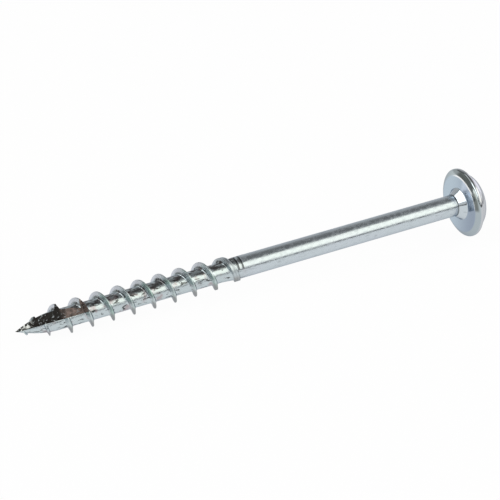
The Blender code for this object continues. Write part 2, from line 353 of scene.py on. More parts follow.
class ZincFinish(bpy.types.PropertyGroup):
    """Colours and gloss of the plating."""
    plating: FloatVectorProperty(
        name="Plating", description="Colour of the clean zinc",
        default=(0.54, 0.60, 0.635), size=3, min=0.0, max=1.0, subtype="COLOR")
    gloss_loss: FloatProperty(
        name="Roughness", description="Roughness of the clean zinc on the shank",
        default=0.22, min=0.0, max=1.0, subtype="FACTOR")
    lavender: FloatVectorProperty(
        name="Lavender tint", description="Tint of the clear film in wide soft patches",
        default=(0.56, 0.595, 0.66), size=3, min=0.0, max=1.0, subtype="COLOR")
    head_blue: FloatVectorProperty(
        name="Blue tint", description="Tint of the clear film on one side of the head",
        default=(0.47, 0.565, 0.64), size=3, min=0.0, max=1.0, subtype="COLOR")
    # Painted shade: the slate that the seat darkens to towards one side
    head_shaded_slate: FloatVectorProperty(
        name="Slate tint", description="Tint of the clear film on the other side of the head",
        default=(0.28, 0.335, 0.42), size=3, min=0.0, max=1.0, subtype="COLOR")
    sea_green: FloatVectorProperty(
        name="Green tint", description="Tint of the clear film along the ridge of the thread",
        default=(0.40, 0.52, 0.49), size=3, min=0.0, max=1.0, subtype="COLOR")
    stain: FloatVectorProperty(
        name="Stain", description="Brownish stains in the root of the thread",
        default=(0.36, 0.28, 0.29), size=3, min=0.0, max=1.0, subtype="COLOR")
    # Painted shade: very dark colour of the mottled patches along one side of the thread's root
    root_shade: FloatVectorProperty(
        name="Darkened zinc", description="Dark plating along one side of the thread's root",
        default=(0.10, 0.085, 0.08), size=3, min=0.0, max=1.0, subtype="COLOR")
    speck: FloatVectorProperty(
        name="Specks", description="Dark specks and dashes in the plating",
        default=(0.03, 0.03, 0.028), size=3, min=0.0, max=1.0, subtype="COLOR")
    # Colours of the slot: very dark near the point, brownish towards the thread
    cut_dark: FloatVectorProperty(
        name="Cut near the point", description="Dark steel of the slot near the point",
        default=(0.022, 0.020, 0.019), size=3, min=0.0, max=1.0, subtype="COLOR")
    cut_brown: FloatVectorProperty(
        name="Cut near the thread", description="Brownish steel of the slot's other end",
        default=(0.24, 0.185, 0.165), size=3, min=0.0, max=1.0, subtype="COLOR")


class StageLook(bpy.types.PropertyGroup):
    """Floor, lamps and surroundings."""
    floor_colour: FloatVectorProperty(
        name="Floor", description="Colour of the plain floor",
        default=(0.9, 0.9, 0.9), size=3, min=0.0, max=1.0, subtype="COLOR")
    softbox_power: FloatProperty(
        name="Softbox power", description="Power of the soft lamp in front, in watts",
        default=0.95, min=0.0)
    side_power: FloatProperty(
        name="Side power", description="Power of the soft lamp at the side, in watts",
        default=2.7, min=0.0)


def smooth_step(value):
    """Rises smoothly from 0 to 1, and is level before and after."""
    value = min(max(value, 0.0), 1.0)
    return value * value * (3.0 - 2.0 * value)


def softly_larger(first, second, reach):
    """The larger of two radii, with a fillet where they meet."""
    if reach <= 0.0:
        return max(first, second)
    near = max(reach - abs(first - second), 0.0)
    return max(first, second) + near * near / (4.0 * reach)


def softly_smaller(first, second, reach):
    """The smaller of two radii, rounded off where they meet."""
    near = max(reach - abs(first - second), 0.0)
    return min(first, second) - near * near / (4.0 * reach)


def root_radius(sizes, depth):
    """Radius of the root of the thread, which tapers to the point."""
    along = (depth - sizes.length + TAPER_LENGTH) / TAPER_LENGTH
    return sizes.root / 2 * (1.0 - min(max(along, 0.0), 1.0) ** TAPER_BULGE)


def core_radius(sizes, depth):
    """Radius of the wire: the shank, which blends into the root of the thread."""
    start = sizes.length - sizes.thread_length + BLEND_OFFSET
    left = 1.0 - smooth_step((depth - start) / BLEND_LENGTH)
    return root_radius(sizes, depth) + (sizes.shank - sizes.root) / 2 * left


def thread_growth(sizes, depth):
    """How far the thread has risen from the shank, and how high its ridge stands."""
    rising = math.sin(math.pi / 2 * min(max(
        (depth - sizes.length + sizes.thread_length) / RUNOUT_LENGTH, 0.0), 1.0))
    lowered = smooth_step((depth - sizes.length + POINT_THREAD) / FADE_LENGTH)
    closing = smooth_step((sizes.length - BARE_POINT - depth) / CLOSE_LENGTH)
    return rising, rising * closing * (1.0 - (1.0 - POINT_SHARE) * lowered)


def first_crest(sizes):
    """Depth of a full crest at the angle 0."""
    return sizes.length - CREST_FROM_POINT + sizes.pitch * CREST_ANGLE / (2 * math.pi)


def crest_and_flat(sizes, crest_depth, towards_point):
    """Radius of the crest there, half its flat on one side, and how high it stands."""
    rising, grown = thread_growth(sizes, crest_depth)
    root = root_radius(sizes, crest_depth)
    crest = root + (sizes.crest - sizes.root) / 2 * grown - DIVE * (1.0 - grown)
    flat = CREST_FLAT / 2
    if not towards_point:
        flat += (RUNOUT_FLAT - CREST_FLAT) * (1.0 - rising * rising) * smooth_step(rising / WIDENED_BY)
    return crest, flat, max(crest - root, LEAST_RIDGE), grown


def surface_radius(sizes, depth, crest_depth):
    """Radius of the surface at a depth, where the nearest crest is at another."""
    crest, flat, _, grown = crest_and_flat(sizes, crest_depth, depth > crest_depth)
    flank = crest - (abs(depth - crest_depth) - flat) / THREAD_SLOPE
    ridge = softly_smaller(crest, flank, CREST_ROUNDING)
    return softly_larger(core_radius(sizes, depth), ridge, ROOT_FILLET * grown)


def row_offset(sizes, row, crest_depth):
    """How far a row of the thread's surface lies from the crest, along the screw."""
    if row == 0:
        return 0.0
    _, flat, height, _ = crest_and_flat(sizes, crest_depth, row > 0)
    run = height * THREAD_SLOPE
    count = abs(row)
    if count == 1:
        offset = FLAT_ROW * flat
    elif count <= 1 + len(FLANK_STEPS):
        offset = flat + run * FLANK_STEPS[count - 2]
    else:
        start = flat + run * FLANK_STEPS[-1]
        offset = start + (sizes.pitch / 2 - start) * ROOT_STEPS[count - 2 - len(FLANK_STEPS)]
    return math.copysign(offset, row)


def use_only(item):
    """Selects one object alone and makes it the active one."""
    bpy.ops.object.select_all(action="DESELECT")
    item.select_set(True)
    bpy.context.view_layer.objects.active = item


def draw_line(name, places):
    """A line through the places, drawn by extruding a single point."""
    bpy.ops.object.select_all(action="DESELECT")
    bpy.ops.mesh.primitive_circle_add(vertices=3, radius=MM, location=(0, 0, 0))
    item = bpy.context.active_object
    item.name = name
    bpy.ops.object.mode_set(mode="EDIT")
    bpy.ops.mesh.select_all(action="SELECT")
    bpy.ops.mesh.merge(type="CENTER")
    bpy.ops.transform.translate(value=places[0])
    for here, there in zip(places, places[1:]):
        bpy.ops.mesh.extrude_region_move(
            TRANSFORM_OT_translate={"value": there - here})
    bpy.ops.object.mode_set(mode="OBJECT")
    return item


def turn_round(item):
    """Spins a drawn line once round the screw's axis and closes it."""
    use_only(item)
    bpy.ops.object.mode_set(mode="EDIT")
    bpy.ops.mesh.select_all(action="SELECT")
    bpy.ops.mesh.spin(
        steps=COLUMNS, angle=2 * math.pi, center=(0, 0, 0), axis=(0, 0, 1))
    bpy.ops.mesh.select_all(action="SELECT")
    bpy.ops.mesh.remove_doubles(threshold=MERGE_SPUN)
    bpy.ops.object.mode_set(mode="OBJECT")


def merge_and_face_out(item, reach=MERGE):
    """Merges places within reach of each other, and turns every face outwards."""
    use_only(item)
    bpy.ops.object.mode_set(mode="EDIT")
    bpy.ops.mesh.select_all(action="SELECT")
    bpy.ops.mesh.remove_doubles(threshold=reach)
    bpy.ops.mesh.dissolve_degenerate(threshold=SLIVER)
    bpy.ops.mesh.select_all(action="SELECT")
    bpy.ops.mesh.normals_make_consistent(inside=False)
    bpy.ops.object.mode_set(mode="OBJECT")


def cut_with(item, cutter, material):
    """Cuts the cutter from the item. The cut faces take the material."""
    cutter.data.materials.append(material)
    use_only(item)
    modifier = item.modifiers.new("cut", "BOOLEAN")
    modifier.operation = "DIFFERENCE"
    modifier.solver = "EXACT"
    modifier.material_mode = "TRANSFER"
    modifier.object = cutter
    bpy.ops.object.modifier_apply(modifier=modifier.name)
    bpy.data.objects.remove(cutter, do_unlink=True)


def rounded_corner(start, corner, end, steps):
    """Points of a curve that leaves start and reaches end along the corner's two sides."""
    places = []
    for step in range(steps + 1):
        part = step / steps
        weights = ((1.0 - part) ** 2, 2 * part * (1.0 - part), part ** 2)
        places.append(tuple(
            sum(weight * place[axis] for weight, place in zip(weights, (start, corner, end)))
            for axis in range(2)))
    return places


def crown_places(sizes, back):
    """Domed crown and the groove round it, from the top down."""
    crown = sizes.crown / 2
    places = []
    for step in range(CROWN_STEPS + 1):
        height = math.cos(math.pi / 2 * step / CROWN_STEPS)
        radius = crown * math.sqrt(1.0 - height ** CROWN_BULGE)
        places.append((radius, back + (sizes.head_height - back) * height))
    for step in range(1, GROOVE_STEPS):
        turn = math.pi * step / GROOVE_STEPS
        places.append((crown + GROOVE_WIDTH * step / GROOVE_STEPS, back - GROOVE_DEPTH * math.sin(turn)))
    return places


def flange_places(inner, outer, rim):
    """Rounded back of the flange, from the groove out to the rim."""
    places = []
    for step in range(FLANGE_STEPS):
        turn = math.pi / 2 * step / FLANGE_STEPS
        places.append((inner + (outer - inner) * math.sin(turn) ** (1 / FLANGE_FULLNESS),
                       rim + FLANGE_BACK * math.cos(turn) ** (1 / FLANGE_FULLNESS)))
    return places


def bevel_places(outer, rim, seat, edge):
    """Rim, bevel and rounded edge of the seat, from the rim inwards."""
    bevel = (outer - seat) * BEVEL_SLOPE
    rounding = RIM_ROUNDING_SHARE * (outer - seat)
    below = (outer - rounding, bevel - rounding * BEVEL_SLOPE)
    start = (seat + edge, edge * BEVEL_SLOPE)
    angle = math.atan(BEVEL_SLOPE)
    steep, shallow = math.tan(angle + BEVEL_BEND), math.tan(angle - BEVEL_BEND)
    corner = (outer, below[1] + rounding * steep)
    places = rounded_corner((outer, rim), corner, below, RIM_STEPS)
    bulge = (below[0] - start[0]) / math.cos(angle) * math.tan(BEVEL_BEND)
    for share in BEVEL_SHARES:
        out = bulge * share * (1.0 - share)
        places.append((start[0] + (below[0] - start[0]) * share + out * math.sin(angle),
                       start[1] + (below[1] - start[1]) * share - out * math.cos(angle)))
    corner = (start[0] - start[1] / shallow, 0.0)
    return places + rounded_corner(start, corner, (seat - edge, 0.0), SEAT_EDGE_STEPS)


def neck_places(sizes, seat, edge):
    """Flat seat, neck and shank, from the edge of the seat down to the thread."""
    neck = NECK_DIAMETER / 2
    shank = sizes.shank / 2
    slope = (neck - shank) / NECK_HEIGHT
    from_edge, from_seat, from_neck = SEAT_RINGS
    places = [(seat - edge - from_edge, 0.0), (seat - from_seat, 0.0), (neck + from_neck, 0.0)]
    bends = [step / FILLET_STEPS for step in range(FILLET_STEPS + 1)]
    for bend in bends:
        radius = neck + NECK_FILLET * (1.0 - bend) ** 2 - NECK_FILLET * slope * bend ** 2
        places.append((radius, -NECK_FILLET * bend ** 2))
    for share in NECK_SHARES:
        places.append((neck - slope * share * NECK_HEIGHT, -share * NECK_HEIGHT))
    for bend in bends:
        radius = shank + NECK_FILLET * slope * (1.0 - bend) ** 2
        height = -NECK_HEIGHT + NECK_FILLET * (1.0 - bend) ** 2 - NECK_FILLET * bend ** 2
        places.append((radius, height))
    stop = sizes.length - sizes.thread_length - SEAM_ABOVE_RUNOUT
    for share in SHANK_SHARES:
        height = -NECK_HEIGHT - NECK_FILLET - (stop - NECK_HEIGHT - NECK_FILLET) * share
        places.append((shank, height))
    return places


def standing(places):
    """Places of a profile, as a radius and a height, brought to the finer mesh."""
    return [Vector((radius * INSIDE, 0.0, height)) for radius, height in places]


def head_profile(sizes):
    """Head, neck and shank, from the top of the crown down to the thread."""
    outer = sizes.flange / 2
    seat = SEAT_DIAMETER / 2
    edge = SEAT_EDGE_SHARE * (outer - seat)
    rim = (outer - seat) * BEVEL_SLOPE + RIM_LAND
    places = crown_places(sizes, rim + FLANGE_BACK)
    places += flange_places(sizes.crown / 2 + GROOVE_WIDTH, outer, rim)
    places += bevel_places(outer, rim, seat, edge)
    return standing(places + neck_places(sizes, seat, edge))


def point_profile(sizes):
    """The bare end of the point."""
    depths = [sizes.length - left * MM for left in POINT_STEPS]
    places = [(core_radius(sizes, depth), -depth) for depth in depths]
    return standing(places + [(0.0, -sizes.length)])


def rolled_turns(sizes, section, turns):
    """Turns of the thread, all of one section."""
    thread = draw_line("thread", section)
    screw = thread.modifiers.new("turns", "SCREW")
    screw.axis = "Z"
    screw.angle = 2 * math.pi
    screw.screw_offset = sizes.pitch
    screw.iterations = turns
    screw.steps = COLUMNS
    screw.render_steps = COLUMNS
    screw.use_merge_vertices = False
    use_only(thread)
    bpy.ops.object.modifier_apply(modifier=screw.name)
    return thread


def roll_thread(sizes):
    """Thread rolled from one section, and then run out into the shank and the point."""
    last_row = 1 + len(FLANK_STEPS) + len(ROOT_STEPS)
    full = sizes.length - FULL_FROM_POINT
    rows = list(range(-last_row, last_row + 1))
    offsets = [row_offset(sizes, row, full) for row in rows]
    at_zero = first_crest(sizes)
    top = sizes.length - sizes.thread_length - SEAM_ABOVE_RUNOUT
    bottom = sizes.length - POINT_STEPS[0] * MM
    above = math.ceil((at_zero - top) / sizes.pitch) + 1
    turns = above + math.ceil((bottom - at_zero) / sizes.pitch) + 2
    lowest = at_zero + (turns - above) * sizes.pitch
    section = []
    for offset in offsets:
        radius = surface_radius(sizes, full + offset, full)
        section.append(Vector((radius, 0.0, -lowest - offset)))
    thread = rolled_turns(sizes, section, turns)
    for vert in thread.data.vertices:
        angle = math.atan2(vert.co.y, vert.co.x) % (2 * math.pi)
        depth = -vert.co.z
        first = at_zero - sizes.pitch * angle / (2 * math.pi)
        crest_depth = first + sizes.pitch * round((depth - first) / sizes.pitch)
        away = depth - crest_depth
        row = min(rows, key=lambda number: abs(offsets[number + last_row] - away))
        depth = crest_depth + row_offset(sizes, row, crest_depth)
        depth = min(max(depth, top), bottom)
        radius = surface_radius(sizes, depth, crest_depth) * INSIDE
        vert.co = (radius * math.cos(angle), radius * math.sin(angle), -depth)
    return thread


def slot_cutter(sizes):
    """Wedge that leaves the ledge, the curved face and the sloped end of the slot."""
    across = Vector((math.cos(SLOT_ANGLE), math.sin(SLOT_ANGLE), 0.0))
    outward = Vector((-across.y, across.x, 0.0))
    reach = sizes.crest / 2 + CLEAR
    outline = []
    for step in range(SLOT_STEPS + 1):
        back = sizes.slot_length * (1.0 - step / SLOT_STEPS)
        outline.append((sizes.length - back, SLOT_FACE_AT_POINT + back * back / (2 * SLOT_CUTTER_RADIUS)))
    top_of_end = outline[0][1]
    outline.append((sizes.length + CLEAR, SLOT_FACE_AT_POINT))
    outline.append((sizes.length + CLEAR, reach))
    outline.append((sizes.length - sizes.slot_length - (reach - top_of_end) * SLOT_END_SLOPE, reach))
    places = [across * SLOT_LEDGE + outward * out + Vector((0, 0, -depth)) for depth, out in outline]
    cutter = draw_line("slot_cutter", places)
    bpy.ops.object.mode_set(mode="EDIT")
    bpy.ops.mesh.select_all(action="SELECT")
    bpy.ops.mesh.edge_face_add()
    bpy.ops.mesh.extrude_region_move(
        TRANSFORM_OT_translate={"value": across * (reach - SLOT_LEDGE)})
    bpy.ops.object.mode_set(mode="OBJECT")
    merge_and_face_out(cutter)
    return cutter


def recess_cutter(sizes):
    """Square punch with a slight taper, softened corners and a shallow pointed end."""
    floor = sizes.head_height - sizes.recess_depth
    top = sizes.head_height + CLEAR
    bpy.ops.object.select_all(action="DESELECT")
    bpy.ops.mesh.primitive_cube_add(size=1.0, location=(0, 0, 0))
    cutter = bpy.context.active_object
    cutter.name = "recess_cutter"
    bpy.ops.object.mode_set(mode="EDIT")
    wide = sizes.recess_width + 2 * CLEAR * RECESS_TAPER
    bpy.ops.transform.resize(value=(wide, wide, top - floor), center_override=(0, 0, 0))
    bpy.ops.transform.translate(value=(0, 0, (top + floor) / 2))
    bpy.ops.object.mode_set(mode="OBJECT")
    for kind in (cutter.data.vertices, cutter.data.edges, cutter.data.polygons):
        kind.foreach_set("select", [False] * len(kind))
    for face in cutter.data.polygons:
        face.select = face.normal.z < -0.5
    bpy.ops.object.mode_set(mode="EDIT")
    narrow = (sizes.recess_width - 2 * sizes.recess_depth * RECESS_TAPER) / wide
    bpy.ops.transform.resize(value=(narrow, narrow, 1.0), center_override=(0, 0, floor))
    bpy.ops.mesh.poke()
    bpy.ops.object.mode_set(mode="OBJECT")
    lowest = min(cutter.data.vertices, key=lambda vert: vert.co.to_2d().length)
    lowest.co.z = floor - RECESS_POINT
    return cutter


def lie_down(item):
    """Lays the screw down as the solid part lies, with its place in its mesh."""
    use_only(item)
    turn = Euler((0.0, math.pi / 2 - LEAN, 0.0)).to_matrix().to_4x4()
    item.matrix_world = Matrix.Translation(SEAT_PLACE) @ turn
    bpy.ops.object.transform_apply(location=True, rotation=True, scale=True)


def put(tree, value, socket):
    """Feeds a socket from another one, or sets it to a number or a vector."""
    if isinstance(value, bpy.types.NodeSocket):
        tree.links.new(value, socket)
    else:
        socket.default_value = value


def join_values(tree, operation, first, second=None):
    """A math node of one or two values, each a socket or a number."""
    node = tree.nodes.new("ShaderNodeMath")
    node.operation = operation
    put(tree, first, node.inputs[0])
    if second is not None:
        put(tree, second, node.inputs[1])
    return node.outputs[0]


def join_vectors(tree, operation, first, second=None):
    """A vector math node of one or two vectors."""
    node = tree.nodes.new("ShaderNodeVectorMath")
    node.operation = operation
    put(tree, first, node.inputs[0])
    if second is not None:
        put(tree, second, node.inputs[1])
    return node.outputs


def stretch(tree, vector, scale):
    """A vector with each of its axes scaled by itself."""
    return join_vectors(tree, "MULTIPLY", vector, scale)["Vector"]


def together(tree, *masks):
    """The product of masks, each a socket or a number."""
    product = masks[0]
    for mask in masks[1:]:
        product = join_values(tree, "MULTIPLY", product, mask)
    return product


def all_but(tree, mask):
    """Mask of everything that another mask leaves out."""
    return join_values(tree, "SUBTRACT", 1.0, mask)


def fade(tree, value, low, high):
    """Mask that rises smoothly from 0 at low to 1 at high, or falls where low is the larger."""
    node = tree.nodes.new("ShaderNodeMapRange")
    node.interpolation_type = "SMOOTHSTEP"
    put(tree, low, node.inputs["From Min"])
    put(tree, high, node.inputs["From Max"])
    tree.links.new(value, node.inputs["Value"])
    return node.outputs["Result"]


def fade_from(tree, value, start, reach):
    """Mask that fades over a range which is counted from a start."""
    return fade(tree, value, start + reach[0], start + reach[1])


def band(tree, value, rise, fall, start=0.0):
    """Mask that rises over one range of a value and falls over another, both from a start."""
    return together(tree, fade_from(tree, value, start, rise), fade_from(tree, value, start, fall))


def facing(tree, place, side):
    """Mask of the places on one side of the screw."""
    angle, low, high = side
    turn = math.radians(angle)
    across = join_vectors(tree, "DOT_PRODUCT", place, (math.cos(turn), math.sin(turn), 0.0))
    return fade(tree, across["Value"], low, high)


def mix_values(tree, share, first, second):
    """A mix node of two values, each a socket or a number."""
    node = tree.nodes.new("ShaderNodeMix")
    for value, socket in zip((share, first, second), (node.inputs[0], node.inputs[2], node.inputs[3])):
        put(tree, value, socket)
    return node.outputs[0]


def mix_colours(tree, share, first, second):
    """A mix node of two colours, each a socket or a colour."""
    node = tree.nodes.new("ShaderNodeMix")
    node.data_type = "RGBA"
    put(tree, share, node.inputs[0])
    sockets = [socket for socket in node.inputs if socket.type == "RGBA"]
    for value, socket in zip((first, second), sockets):
        put(tree, value if isinstance(value, bpy.types.NodeSocket) else (*value, 1.0), socket)
    return [socket for socket in node.outputs if socket.type == "RGBA"][0]


def lay_on(tree, colour, mask, film):
    """Lays a film of a tint and a strength over a colour, where the mask is."""
    tint, strength = film
    return mix_colours(tree, together(tree, mask, strength), colour, tint)


def cloud(tree, place, kind):
    """Soft noise over the place, of one kind."""
    scale, waves, detail, roughness, distortion = kind
    node = tree.nodes.new("ShaderNodeTexNoise")
    for name, value in (
            ("Vector", stretch(tree, place, scale)), ("Scale", waves), ("Detail", detail),
            ("Roughness", roughness), ("Distortion", distortion)):
        put(tree, value, node.inputs[name])
    return node.outputs["Fac"]


def relief(tree, height, distance):
    """The normals of a surface with this relief."""
    bump = tree.nodes.new("ShaderNodeBump")
    bump.inputs["Strength"].default_value = 1.0
    bump.inputs["Distance"].default_value = distance
    tree.links.new(height, bump.inputs["Height"])
    return bump.outputs[0]


def new_group(name, inputs, outputs):
    """A node group with its sockets, and its input and output nodes."""
    group = bpy.data.node_groups.new(name, "ShaderNodeTree")
    for way, sockets in (("INPUT", inputs), ("OUTPUT", outputs)):
        for socket, kind in sockets:
            group.interface.new_socket(name=socket, in_out=way, socket_type="NodeSocket" + kind)
    return group, group.nodes.new("NodeGroupInput"), group.nodes.new("NodeGroupOutput")


def use_group(tree, group, **values):
    """Places a group, fed with values whose names have _ for a space. Gives its outputs."""
    node = tree.nodes.new("ShaderNodeGroup")
    node.node_tree = group
    for name, value in values.items():
        put(tree, value, node.inputs[name.replace("_", " ")])
    return node.outputs


def place_group(sizes):
    """Where a spot lies on the screw, in millimetres.

    Place is counted from the seat, with the head up. Unrolled lays the wire's
    surface open, so that a pattern can run along it. Off Crest is the distance
    along the screw from the nearest crest of the thread.
    """
    group, _, result = new_group("place_on_screw", (), (
        ("Place", "Vector"), ("Unrolled", "Vector"), ("Depth", "Float"), ("Radius", "Float"),
        ("Off Crest", "Float")))
    nodes = group.nodes
    link = group.links.new
    place = nodes.new("ShaderNodeTexCoord")
    stand = nodes.new("ShaderNodeMapping")
    stand.vector_type = "TEXTURE"
    stand.inputs["Location"].default_value = SEAT_PLACE
    stand.inputs["Rotation"].default_value = (0.0, math.pi / 2 - LEAN, 0.0)
    link(place.outputs["Object"], stand.inputs["Vector"])
    local = stretch(group, stand.outputs["Vector"], (1 / MM,) * 3)
    split = nodes.new("ShaderNodeSeparateXYZ")
    link(local, split.inputs[0])
    flat = stretch(group, local, (1.0, 1.0, 0.0))
    unit = join_vectors(group, "NORMALIZE", flat)["Vector"]
    around = nodes.new("ShaderNodeSeparateXYZ")
    link(stretch(group, unit, (UNROLLED_RADIUS, UNROLLED_RADIUS, 0.0)), around.inputs[0])
    unrolled = nodes.new("ShaderNodeCombineXYZ")
    for axis, source in (("X", around), ("Y", around), ("Z", split)):
        link(source.outputs[axis], unrolled.inputs[axis])
    depth = join_values(group, "MULTIPLY", split.outputs["Z"], -1.0)
    angle = join_values(group, "ARCTAN2", split.outputs["Y"], split.outputs["X"])
    pitch = sizes.pitch / MM
    below = join_values(group, "SUBTRACT", depth, first_crest(sizes) / MM)
    turns = join_values(group, "ADD", join_values(group, "DIVIDE", below, pitch),
                        join_values(group, "DIVIDE", angle, 2 * math.pi))
    off = join_values(group, "SUBTRACT", turns, join_values(group, "ROUND", turns))
    link(local, result.inputs["Place"])
    link(unrolled.outputs[0], result.inputs["Unrolled"])
    link(depth, result.inputs["Depth"])
    link(join_vectors(group, "LENGTH", flat)["Value"], result.inputs["Radius"])
    link(together(group, off, pitch), result.inputs["Off Crest"])
    return group


def spots_group():
    """Mask of irregular spots. More of the surface is covered as Cover rises."""
    group, given, result = new_group("spots", (
        ("Place", "Vector"), ("Scale", "Float"), ("Cover", "Float"), ("Softness", "Float")), (
        ("Mask", "Float"),))
    noise = cloud(group, given.outputs["Place"], (EVEN, given.outputs["Scale"], *SPOT_NOISE))
    limit = join_values(group, "SUBTRACT", SPOT_THRESHOLD,
                        together(group, given.outputs["Cover"], SPOT_REACH))
    over = join_values(group, "SUBTRACT", noise, limit)
    mask = join_values(group, "ADD", join_values(group, "DIVIDE", over, given.outputs["Softness"]), 0.5)
    mask.node.use_clamp = True
    group.links.new(mask, result.inputs["Mask"])
    return group


def spotted(tree, spots, place, kind):
    """Mask of one kind of spots."""
    scale, count, cover, softness = kind
    place = stretch(tree, place, scale)
    return use_group(tree, spots, Place=place, Scale=count, Cover=cover, Softness=softness)["Mask"]


def new_metal(name):
    """A metal, with its node tree and its shader."""
    material = bpy.data.materials.new(name)
    material.use_nodes = True
    shader = material.node_tree.nodes["Principled BSDF"]
    shader.inputs["Metallic"].default_value = 1.0
    return material, material.node_tree, shader


def thread_start(sizes):
    """Depth in millimetres at which the thread runs out."""
    return (sizes.length - sizes.thread_length) / MM


def root_in_mm(sizes):
    """Radius in millimetres of the root of the thread."""
    return sizes.root / 2 / MM


def plated_areas(tree, sizes, at):
    """Masks of the areas where the plating looks different."""
    start = thread_start(sizes)
    thread = fade_from(tree, at["Depth"], start, THREAD_DEPTH)
    risen = fade_from(tree, at["Radius"], root_in_mm(sizes), RIDGE_RADIUS)
    head = fade(tree, at["Depth"], *HEAD_DEPTH)
    return {
        "thread": thread,
        "root": together(tree, thread, all_but(tree, risen)),
        "ridge": together(tree, thread, risen),
        "head": head,
        "shank": together(tree, all_but(tree, thread), all_but(tree, head)),
        "seat": band(tree, at["Depth"], *SEAT_DEPTHS),
        "near": facing(tree, at["Unrolled"], SEAT_NEAR),
        "marked": together(tree, band(tree, at["Depth"], *MARKED_DEPTHS, start),
                           facing(tree, at["Unrolled"], SHANK_MARKED)),
    }


def head_film_and_shade(tree, finish, at, on, colour):
    """Clear film on the crown; a tint on the bevel, darker towards its lower side; and a blue tint on the
    seat, darkened to slate towards one side as painted shade, with a painted reflection, paler blue, beside
    the neck.
    """
    colour = lay_on(tree, colour, fade(tree, at["Depth"], *CROWN_DEPTH), CROWN_FILM)
    bevel = mix_colours(tree, facing(tree, at["Unrolled"], BEVEL_LOW), BEVEL_TINT, BEVEL_LOW_TINT)
    colour = mix_colours(tree, band(tree, at["Depth"], *BEVEL_DEPTHS), colour, bevel)
    # Painted shade: the seat darkens from blue to slate towards one side
    seat = mix_colours(tree, facing(tree, at["Place"], SEAT_SHADED_SIDE), finish.head_blue, finish.head_shaded_slate)
    # Painted reflection: paler blue on the seat beside the neck
    seat = lay_on(tree, seat, on["near"], SEAT_NEAR_REFLECTION)
    return lay_on(tree, colour, on["seat"], (seat, SEAT_STRENGTH))


def thread_film_and_shade(tree, sizes, finish, at, on, colour):
    """Pale ridge that is green in front and plain where it runs out, with painted shade on its underside,
    darker towards the crest.
    """
    runs_out = fade_from(tree, at["Depth"], thread_start(sizes), RUNOUT_TINT_DEPTH)
    ridge = mix_colours(tree, runs_out, RIDGE_TINT, RUNOUT_TINT)
    colour = lay_on(tree, colour, on["ridge"], (ridge, RIDGE_STRENGTH))
    green = fade(tree, cloud(tree, at["Place"], GREEN_CLOUD), *GREEN_LIMITS)
    green = together(tree, join_values(tree, "MAXIMUM", green, GREEN_LEAST),
                     facing(tree, at["Unrolled"], RIDGE_GREEN), all_but(tree, runs_out))
    colour = mix_colours(tree, together(tree, green, on["ridge"]), colour, finish.sea_green)
    # Painted shade on the underside of the ridge
    under = together(tree, facing(tree, at["Unrolled"], RIDGE_SHADED_SIDE),
                     fade_from(tree, at["Radius"], root_in_mm(sizes), RIDGE_SHADE_RADIUS), on["thread"])
    return lay_on(tree, colour, under, RIDGE_UNDERSIDE_SHADE)


def plating_spots_and_root_shade(tree, finish, at, on, spots, colour):
    """Stains and dashes in the root, painted shade in dark mottled patches along one side of the root, and
    bare specks on the shank.
    """
    stain = spotted(tree, spots, at["Place"], STAIN_SPOTS)
    colour = lay_on(tree, colour, together(tree, stain, on["root"]), (finish.stain, STAIN_STRENGTH))
    dashes = spotted(tree, spots, at["Unrolled"], DASH_SPOTS)
    colour = lay_on(tree, colour, together(tree, dashes, on["root"]), (finish.speck, DASH_STRENGTH))
    # Painted shade: dark mottled patches along one side of the root
    root_shade = together(tree, facing(tree, at["Unrolled"], ROOT_SHADED_SIDE),
                     fade(tree, cloud(tree, at["Unrolled"], ROOT_SHADE_CLOUD), *ROOT_SHADE_LIMITS))
    colour = lay_on(tree, colour, together(tree, root_shade, on["root"]), (finish.root_shade, ROOT_SHADE_STRENGTH))
    specks = spotted(tree, spots, at["Unrolled"], SHANK_SPECKS)
    return lay_on(tree, colour, together(tree, specks, on["shank"]), (finish.speck, SPECK_STRENGTH))


def hatch_marks(tree, sizes, at, colour):
    """Dark hatch across the upper side of the ridge where it runs out."""
    ripple = join_values(tree, "SINE", together(tree, at["Off Crest"], 2 * math.pi / HATCH_PITCH))
    side = join_values(tree, "MAXIMUM", facing(tree, at["Unrolled"], RUNOUT_HATCHED), HATCH_LEAST)
    mask = together(tree, band(tree, at["Depth"], *HATCH_DEPTHS, thread_start(sizes)),
                    fade_from(tree, at["Radius"], root_in_mm(sizes), HATCH_RADIUS),
                    fade(tree, ripple, *HATCH_LINE), side)
    return lay_on(tree, colour, mask, HATCH_DIRT)


def head_highlight_and_shade(tree, at, on, colour):
    """Painted highlight on the edge of the seat, and painted shade in a band on the bevel and in a line
    along the rim.
    """
    # Painted highlight: a near-white line on one side of the seat's edge
    edge = together(tree, band(tree, at["Radius"], *SEAT_EDGE_RADII, SEAT_DIAMETER / 2 / MM),
                    fade(tree, at["Depth"], *SEAT_EDGE_DEPTH),
                    facing(tree, at["Unrolled"], SEAT_HIGHLIT_SIDE), on["head"])
    colour = lay_on(tree, colour, edge, SEAT_EDGE_HIGHLIGHT)
    # Painted shade: a dark band on one side of the bevel's rounding
    bevel_shade = together(tree, facing(tree, at["Unrolled"], BEVEL_SHADED_SIDE),
                      fade(tree, at["Radius"], *BEVEL_SHADE_RADIUS), band(tree, at["Depth"], *BEVEL_SHADE_DEPTHS))
    colour = lay_on(tree, colour, bevel_shade, BEVEL_SHADE)
    # Painted shade: a dark line along one side of the rim
    rim_shade = together(tree, fade(tree, at["Radius"], *RIM_SHADE_RADIUS), fade(tree, at["Depth"], *RIM_SHADE_DEPTH),
                    facing(tree, at["Unrolled"], RIM_SHADED_SIDE), on["head"])
    return lay_on(tree, colour, rim_shade, RIM_SHADE)


def die_ripple(tree, sizes, at):
    """Wave of the marks that the rolling dies left beside the thread."""
    along = join_values(tree, "SUBTRACT", at["Depth"], thread_start(sizes) + MARK_START)
    return join_values(tree, "SINE", together(tree, along, 2 * math.pi / MARK_PITCH))


